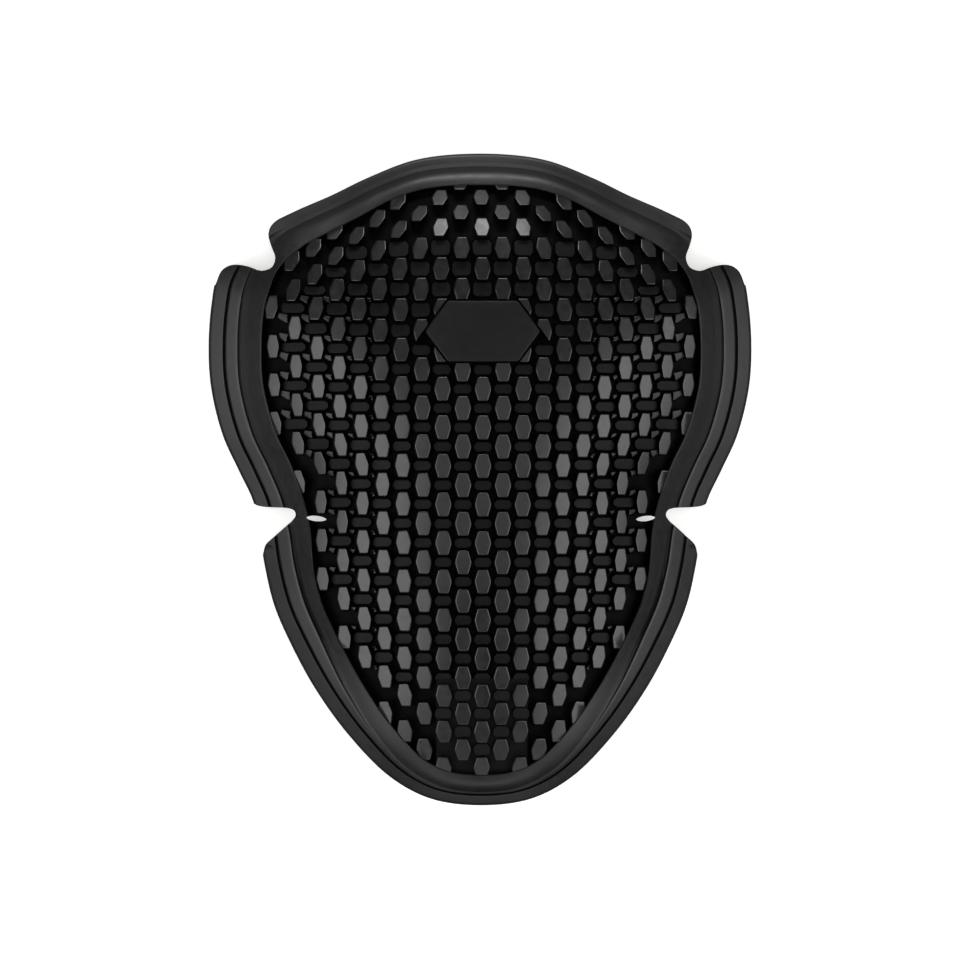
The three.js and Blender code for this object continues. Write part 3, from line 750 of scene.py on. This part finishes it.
def cell_block(centre):
    """A six-sided cell that lies flat on the slope at its site."""
    sizes = field()
    slope_x, slope_y = (float(value) for value in slope(centre.x, centre.y))
    across = math.hypot(1, slope_x)
    steep = math.sqrt(1 + slope_x**2 + slope_y**2)
    end = sizes.cell_end / 2
    side = sizes.cell_width / 2
    tall = sizes.cell_length / 2
    foot = 0.45
    rise = sizes.cell_height + SUNK
    # The foot with its fillet, then the drafted wall and the rounded edge of the top
    steps = ((0.02, SUNK), (0.20, 0.12), (0.10, 0.35), (0.13, rise - 1.12), (0.12, 0.28), (0.30, 0.12))
    corners = ((end, tall), (-end, tall), (-side, 0), (-end, -tall), (end, -tall), (side, 0))
    grown = [(a + math.copysign(foot, a), b + math.copysign(foot, b) * (b != 0)) for a, b in corners]
    bm = block(grown, steps)
    lie = Matrix((
        (1 / across, -slope_x * slope_y / (steep * across), 0, centre.x),
        (0, across / steep, 0, centre.y),
        (0, 0, 1, -rise),
        (0, 0, 0, 1),
    ))
    bmesh.ops.transform(bm, matrix=lie, verts=bm.verts)
    return bm


class PROTECTOR_OT_cells(bpy.types.Operator):
    """Add the raised six-sided cells"""

    bl_idname = "protector.cells"
    bl_label = "Six-sided Cells"

    def execute(self, context):
        sizes = field()
        joined = bmesh.new()
        for column, row, centre in field_sites():
            outside, corner, outward = badge_edge(centre)
            hidden = outside < 0.5 - sizes.cell_width / 2
            if (column + row) % 2 == 0 or inset_of(centre) < -0.2 * sizes.cell_width or hidden:
                continue
            bm = cell_block(centre)
            if inset_of(centre) < sizes.cell_length:
                cut_away(bm, *edge_of_field(centre))
            if outside < sizes.cell_length:
                cut_away(bm, corner, -outward)
            add_copy(joined, bm)
        finish_piece(joined, "raised_cells", 50, PolishAndShade(most=1, low=-1.2, high=-0.3))
        return {"FINISHED"}


def bar_block(column, row, centre):
    """A bar between the cells of its row, held clear of the cells beside, above and below it."""
    sizes = field()
    slope_x, slope_y = (float(value) for value in slope(centre.x, centre.y))
    shift = -sizes.bar_shift * slope_x
    beside = (site_centre(column + 1, row).x - site_centre(column - 1, row).x) / 2
    above = (site_centre(column, row + 1).y - site_centre(column, row - 1).y) / 2
    cell_x = sizes.cell_width / 2 / math.hypot(1, slope_x)
    cell_y = sizes.cell_length / 2 / math.hypot(1, slope_y)
    least = 0.3
    foot = 0.35
    reach_x = max(least, beside - cell_x - sizes.channel - abs(shift) / 2) + foot
    reach_y = max(least, above - cell_y - sizes.channel) + foot
    level = sizes.bar_height
    if in_patch(centre):
        lower_here = 0.7
        level += shell().patch_height - lower_here
        reach_y += foot
    rise = level + SUNK
    steps = ((0.02, SUNK), (0.20, 0.12), (0.08, 0.3), (0.05, rise - 1.02), (0.12, 0.23), (0.25, 0.12))
    corners = ((reach_x, reach_y), (-reach_x, reach_y), (-reach_x, -reach_y), (reach_x, -reach_y))
    bm = block(corners, steps, corner_cut=1.2)
    place = (centre.x + shift, centre.y, -SUNK - sizes.cell_height)
    bmesh.ops.translate(bm, verts=bm.verts, vec=place)
    return bm


def in_patch(point):
    """Whether a plan point lies over the raised floor at the arm end."""
    sizes = shell()
    return abs(point.x) < sizes.patch_width / 2 and abs(point.y - PATCH_Y) < sizes.patch_length / 2


class PROTECTOR_OT_bars(bpy.types.Operator):
    """Add the low bars between the cells"""

    bl_idname = "protector.bars"
    bl_label = "Low Bars"

    def execute(self, context):
        sizes = field()
        joined = bmesh.new()
        for column, row, centre in field_sites():
            outside, corner, outward = badge_edge(centre)
            if (column + row) % 2 or inset_of(centre) < 1.25 * sizes.cell_width or outside < -1:
                continue
            if not (in_patch(centre) or BARS_TIP_Y < centre.y < BARS_TOP_Y):
                continue
            bm = bar_block(column, row, centre)
            if outside < sizes.cell_length:
                cut_away(bm, corner, -outward)
            add_copy(joined, bm)
        # The bars' low polish is painted shade, for they lie low between the taller cells
        finish_piece(joined, "low_bars", 50, PolishAndShade(most=0.2, low=-2.8, high=-2))
        return {"FINISHED"}


def corner_place(column, row):
    """Middle of the four sites round the corner that lies right of and above a site."""
    around = [site_centre(column + right, row + up) for right in (0, 1) for up in (0, 1)]
    return sum(around, Vector((0, 0))) / 4


class PROTECTOR_OT_studs(bpy.types.Operator):
    """Add the small studs where the corners of cells and bars meet, on the slopes of the dome"""

    bl_idname = "protector.studs"
    bl_label = "Corner Studs"

    def execute(self, context):
        sizes = field()
        rise = sizes.stud_height + SUNK
        steps = ((0.1, SUNK), (0.1, rise - 0.55), (0.1, 0.2), (0.2, 0.1))
        growth = 1.3
        joined = bmesh.new()
        for column, row, _ in field_sites():
            place = corner_place(column, row)
            if abs(place.x) < sizes.studs_from or inset_of(place) < sizes.cell_width:
                continue
            if not BARS_TIP_Y < place.y < STUDS_TOP_Y or badge_edge(place)[0] < sizes.stud_size:
                continue
            half = sizes.stud_size / 2 * (abs(place.x) / sizes.studs_from) ** growth
            side = -half if place.x > 0 else half
            kite = ((0.8 * side, 0.5 * half), (-0.7 * side, 0.8 * half), (-side, 0), (0.5 * side, -half))
            bm = block(kite, steps, corner_cut=0.25)
            bmesh.ops.translate(bm, verts=bm.verts, vec=(*place, -SUNK - sizes.cell_height))
            add_copy(joined, bm)
        finish_piece(joined, "corner_studs", 50, PolishAndShade(most=0.7, low=-2.2, high=-1.3))
        return {"FINISHED"}


class PROTECTOR_OT_badge(bpy.types.Operator):
    """Add the blank badge and the raised floor at the arm end"""

    bl_idname = "protector.badge"
    bl_label = "Badge and Patch"

    def execute(self, context):
        sizes = field()
        bend_spacing = 3
        rise = sizes.cell_height + sizes.badge_proud + SUNK
        bm = block(badge_outline(0.15), ((0.15, rise - 0.6), (0.1, 0.35), (0.35, 0.25)))
        bmesh.ops.translate(bm, verts=bm.verts, vec=(0, 0, sizes.badge_proud - rise))
        cut_rows(bm, bend_spacing)
        finish_piece(bm, "blank_badge", 40, PolishAndShade(most=0.35, low=-0.8, high=0.3))

        plate = shell()
        half_x = plate.patch_width / 2
        top = PATCH_Y + plate.patch_length / 2
        under_rim = 3.5
        bottom = PATCH_Y - plate.patch_length / 2 - under_rim
        corners = ((half_x, top), (-half_x, top), (-half_x, bottom), (half_x, bottom))
        rise = plate.patch_height + SUNK
        bm = block(corners, ((0.05, rise - 0.3), (0.1, 0.2), (0.3, 0.1)))
        bmesh.ops.translate(bm, verts=bm.verts, vec=(0, 0, -sizes.cell_height - SUNK))
        cut_rows(bm, bend_spacing)
        # The raised floor's low polish is painted shade between the cells
        finish_piece(bm, "arm_patch", 40, PolishAndShade(most=0.1, low=-2.6, high=-1.9))
        return {"FINISHED"}


def cut_rows(bm, spacing):
    """Cuts a plan model into small squares, so that it can bend onto the dome."""
    for axis in (Vector((1, 0, 0)), Vector((0, 1, 0))):
        reaches = [vert.co.dot(axis) for vert in bm.verts]
        place = spacing * math.ceil(min(reaches) / spacing)
        while place < max(reaches):
            geometry = bm.verts[:] + bm.edges[:] + bm.faces[:]
            bmesh.ops.bisect_plane(bm, geom=geometry, dist=0.001, plane_co=axis * place, plane_no=axis)
            place += spacing


def add_node(nodes, links, kind, settings=(), inputs=()):
    """Adds a node with its settings, and its inputs as values or as links from other nodes' outputs."""
    node = nodes.new(kind)
    for name, value in dict(settings).items():
        setattr(node, name, value)
    for name, value in dict(inputs).items():
        if isinstance(value, bpy.types.NodeSocket):
            links.new(value, node.inputs[name])
        else:
            node.inputs[name].default_value = value
    return node


def rubber_material():
    """Closed-cell foam rubber with a satin moulded skin: black, softly shiny, with a fine etched grain."""
    name = "moulded_foam_rubber"
    if name in bpy.data.materials:
        return bpy.data.materials[name]
    look = bpy.context.scene.protector_rubber
    cloud_size = 18 * MM
    scuff_size = 2.5 * MM
    # Real mould grain is too fine to show at this distance, so it is drawn coarser
    grain_size = look.grain * MM
    grain_depth = 0.06 * MM
    material = bpy.data.materials.new(name)
    material.use_nodes = True
    nodes = material.node_tree.nodes
    links = material.node_tree.links
    skin_shader = nodes["Principled BSDF"]
    skin_shader.inputs["IOR"].default_value = 1.5
    place = add_node(nodes, links, "ShaderNodeTexCoord").outputs["Object"]
    clouds = add_node(nodes, links, "ShaderNodeTexNoise", inputs={
        "Vector": place, "Scale": 1 / cloud_size, "Detail": 3,
    })
    scuffs = add_node(nodes, links, "ShaderNodeTexNoise", inputs={
        "Vector": place, "Scale": 1 / scuff_size, "Detail": 4, "Roughness": 0.6,
    })
    blend = add_node(nodes, links, "ShaderNodeMath", {"operation": "MULTIPLY"}, {
        0: clouds.outputs["Fac"], 1: scuffs.outputs["Fac"],
    })
    tone = add_node(nodes, links, "ShaderNodeValToRGB", inputs={"Fac": blend.outputs[0]})
    tone.color_ramp.elements[0].position = 0.15
    tone.color_ramp.elements[0].color = (*look.deep, 1)
    tone.color_ramp.elements[1].position = 0.45
    tone.color_ramp.elements[1].color = (*look.worn, 1)
    links.new(tone.outputs["Color"], skin_shader.inputs["Base Color"])
    polish = add_node(nodes, links, "ShaderNodeAttribute", {"attribute_name": "polish"}).outputs["Fac"]
    # Specular level from the layer: low in the channels and recesses, which is painted shade
    shine_and_painted_shade = add_node(nodes, links, "ShaderNodeMapRange", inputs={
        "Value": polish, "To Min": look.channel_painted_shade_shine, "To Max": look.satin_shine,
    })
    links.new(shine_and_painted_shade.outputs["Result"], skin_shader.inputs["Specular IOR Level"])
    finish = add_node(nodes, links, "ShaderNodeMapRange", inputs={
        "Value": polish, "To Min": look.matt, "To Max": look.satin,
    })
    uneven = add_node(nodes, links, "ShaderNodeMapRange", inputs={
        "Value": scuffs.outputs["Fac"], "From Min": 0.3, "From Max": 0.7, "To Min": -0.05, "To Max": 0.05,
    })
    roughness = add_node(nodes, links, "ShaderNodeMath", {"operation": "ADD"}, {
        0: finish.outputs["Result"], 1: uneven.outputs["Result"],
    })
    links.new(roughness.outputs[0], skin_shader.inputs["Roughness"])
    grain = add_node(nodes, links, "ShaderNodeTexNoise", inputs={
        "Vector": place, "Scale": 1 / grain_size, "Detail": 2,
    })
    bump = add_node(nodes, links, "ShaderNodeBump", inputs={
        "Strength": 0.25, "Distance": grain_depth, "Height": grain.outputs["Fac"],
    })
    links.new(bump.outputs["Normal"], skin_shader.inputs["Normal"])
    return material


def floor_material():
    """Opal sheet of a light table, lit evenly from below."""
    stage = bpy.context.scene.protector_stage
    material = bpy.data.materials.new("opal_light_table")
    material.use_nodes = True
    board = material.node_tree.nodes["Principled BSDF"]
    board.inputs["Base Color"].default_value = (*stage.floor_colour, 1)
    board.inputs["Roughness"].default_value = 0.9
    board.inputs["Specular IOR Level"].default_value = 0.2
    board.inputs["Emission Color"].default_value = (*stage.floor_colour, 1)
    board.inputs["Emission Strength"].default_value = stage.floor_glow
    return material


def area_light(name, place, size_x, size_y, power):
    """Soft rectangular light that faces the object."""
    data = bpy.data.lights.new(name, "AREA")
    data.shape = "RECTANGLE"
    data.size = size_x
    data.size_y = size_y
    data.energy = power
    lamp = bpy.data.objects.new(name, data)
    lamp.location = place
    lamp.rotation_euler = (-Vector(place)).to_track_quat("-Z", "Y").to_euler()
    lamp.visible_camera = False
    bpy.context.scene.collection.objects.link(lamp)


class PROTECTOR_OT_stage(bpy.types.Operator):
    """Add the floor, the lights and the camera"""

    bl_idname = "protector.stage"
    bl_label = "Stage"

    def execute(self, context):
        stage = context.scene.protector_stage
        bm = bmesh.new()
        bmesh.ops.create_grid(bm, x_segments=1, y_segments=1, size=stage.floor / 2)
        mesh = bpy.data.meshes.new("studio_floor")
        bm.to_mesh(mesh)
        bm.free()
        mesh.materials.append(floor_material())
        floor = bpy.data.objects.new("studio_floor", mesh)
        context.scene.collection.objects.link(floor)
        # The floor's glow lights only the view, as when black cards shade the object from it
        floor.visible_glossy = False
        floor.visible_diffuse = False

        area_light("side_light_left", (-0.95, -0.2, 0.62), 1.3, 1.25, stage.side_power)
        area_light("side_light_right", (0.95, -0.2, 0.62), 1.3, 1.25, stage.side_power)
        area_light("end_light_neck", (0, 1.1, 0.17), 0.7, 0.32, stage.neck_power)
        area_light("end_light_arm", (0, -1.1, 0.4), 1.2, 0.25, stage.arm_power)
        area_light("overhead_light", (0, 0.1, 2.0), 1.2, 1.2, stage.top_power)

        world = bpy.data.worlds.new("studio_surround")
        world.use_nodes = True
        background = world.node_tree.nodes["Background"]
        background.inputs["Color"].default_value = (1, 1, 1, 1)
        background.inputs["Strength"].default_value = stage.surround
        context.scene.world = world
        context.scene.view_settings.view_transform = "Standard"

        data = bpy.data.cameras.new("camera")
        data.sensor_width = 36
        data.lens = data.sensor_width * stage.camera_reach / (stage.view_width * MM)
        data.clip_end = 50
        camera = bpy.data.objects.new("camera", data)
        tilt = stage.camera_tilt
        reach = stage.camera_reach
        aim_y = -0.3 * MM
        camera.location = (-reach * math.sin(tilt), aim_y, reach * math.cos(tilt))
        camera.rotation_euler = (0, -tilt, 0)
        context.scene.collection.objects.link(camera)
        context.scene.camera = camera
        return {"FINISHED"}


class PROTECTOR_PT_panel(bpy.types.Panel):
    """Lists the steps that build the protector"""

    bl_idname = "PROTECTOR_PT_panel"
    bl_label = "Shoulder Protector"
    bl_space_type = "VIEW_3D"
    bl_region_type = "UI"
    bl_category = "Protector"

    def draw(self, context):
        for operator in OPERATORS:
            self.layout.operator(operator.bl_idname)


OPERATORS = (
    PROTECTOR_OT_shell, PROTECTOR_OT_cells, PROTECTOR_OT_bars, PROTECTOR_OT_studs, PROTECTOR_OT_badge,
    PROTECTOR_OT_stage,
)
GROUPS = {
    "protector_shell": ShellSizes,
    "protector_field": FieldSizes,
    "protector_rubber": RubberLook,
    "protector_stage": StageSizes,
}


def register():
    """Registers the groups of sizes, the operators and the panel."""
    for group in GROUPS.values():
        bpy.utils.register_class(group)
    for name, group in GROUPS.items():
        setattr(bpy.types.Scene, name, PointerProperty(type=group))
    for operator in (*OPERATORS, PROTECTOR_PT_panel):
        bpy.utils.register_class(operator)


def unregister():
    """Takes back what register did."""
    for operator in (PROTECTOR_PT_panel, *reversed(OPERATORS)):
        bpy.utils.unregister_class(operator)
    for name, group in reversed(GROUPS.items()):
        delattr(bpy.types.Scene, name)
        bpy.utils.unregister_class(group)


def main():
    """Builds all pieces and the stage."""
    register()
    bpy.ops.protector.shell()
    bpy.ops.protector.cells()
    bpy.ops.protector.bars()
    bpy.ops.protector.studs()
    bpy.ops.protector.badge()
    bpy.ops.protector.stage()


if __name__ == "__main__":
    main()
